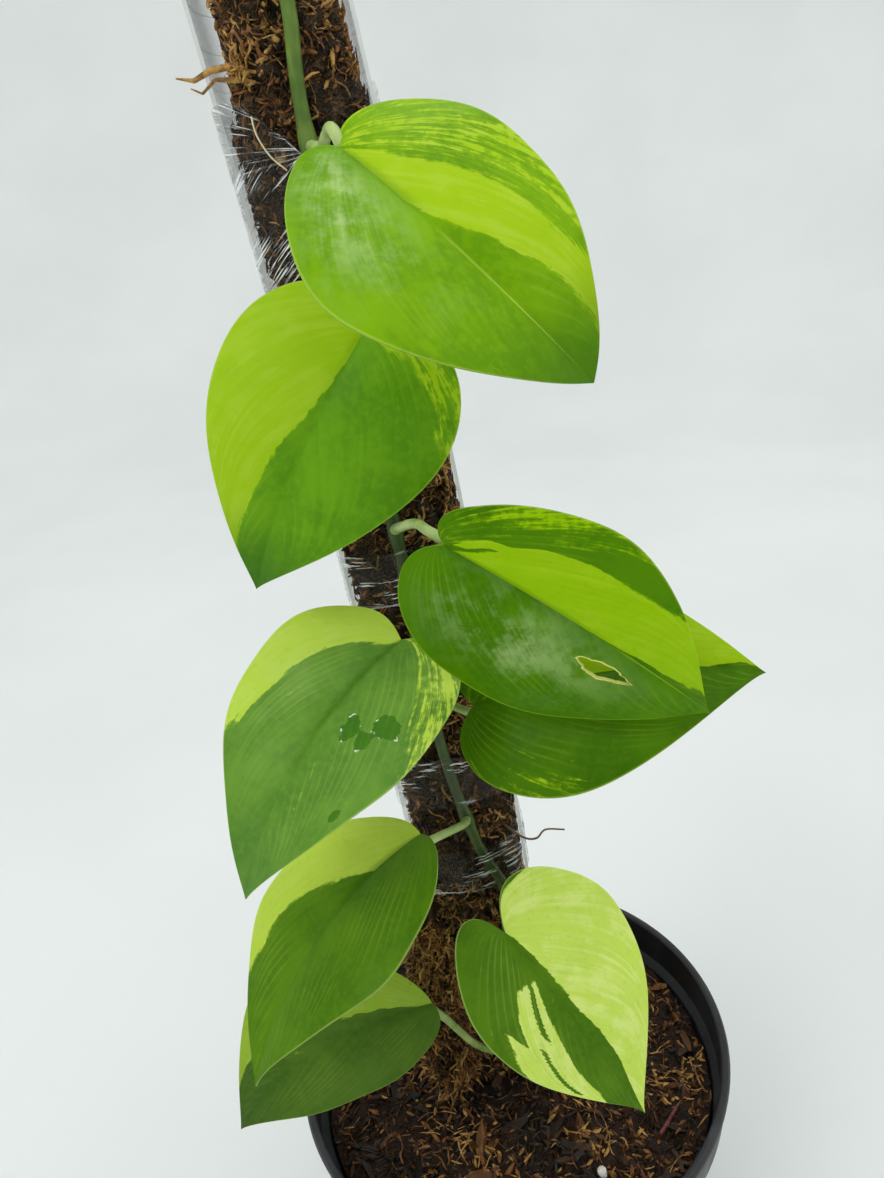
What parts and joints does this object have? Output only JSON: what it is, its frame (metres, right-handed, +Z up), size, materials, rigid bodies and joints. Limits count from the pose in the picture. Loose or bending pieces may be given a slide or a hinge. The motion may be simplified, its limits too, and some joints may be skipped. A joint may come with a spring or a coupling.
{
  "type": "potted scindapsus treubii",
  "caption": "Climbing aroid with variegated heart-shaped leaves, tied to a moss-filled clear pole in a round pot.",
  "frame": {"origin": "centre of the pot's flat underside", "axes": "+Z up along the pot's axis, -Y towards the side that the leaves and the pole's open side face, +X to the right seen from there"},
  "size_m": [0.1785, 0.16, 0.5404],
  "materials": {
    "pot_plastic": "satin black moulded plastic",
    "potting_mix": "loose bark and coir, matte",
    "moss": "shaggy dried sphagnum",
    "clear_channel": "clear gloss",
    "clear_film": "clear wrinkled stretch film",
    "stem_skin": "smooth green skin",
    "petiole_skin": "smooth pale green skin",
    "blade": "satin leaf, sectors of lime and dark green",
    "young_blade": "satin, pale green",
    "root_skin": "matte tan"
  },
  "bodies": {
    "root": {"pot": "pot_plastic", "soil": "potting_mix", "pole_channel": "clear_channel", "moss_core": "moss", "vine_stem": "stem_skin", "new_leaf": "young_blade", "roots": "root_skin", "film_wrap_1": "clear_film", "film_wrap_2": "clear_film", "film_wrap_3": "clear_film", "film_wrap_4": "clear_film", "petiole_1": "petiole_skin", "petiole_2": "petiole_skin", "petiole_3": "petiole_skin", "petiole_4": "petiole_skin", "petiole_5": "petiole_skin", "petiole_6": "petiole_skin", "petiole_7": "petiole_skin", "petiole_8": "petiole_skin", "leaf_1": "blade", "leaf_2": "blade", "leaf_3": "blade", "leaf_4": "blade", "leaf_5": "blade", "leaf_6": "blade", "leaf_7": "blade", "leaf_8": "blade"}
  },
  "joints": []
}
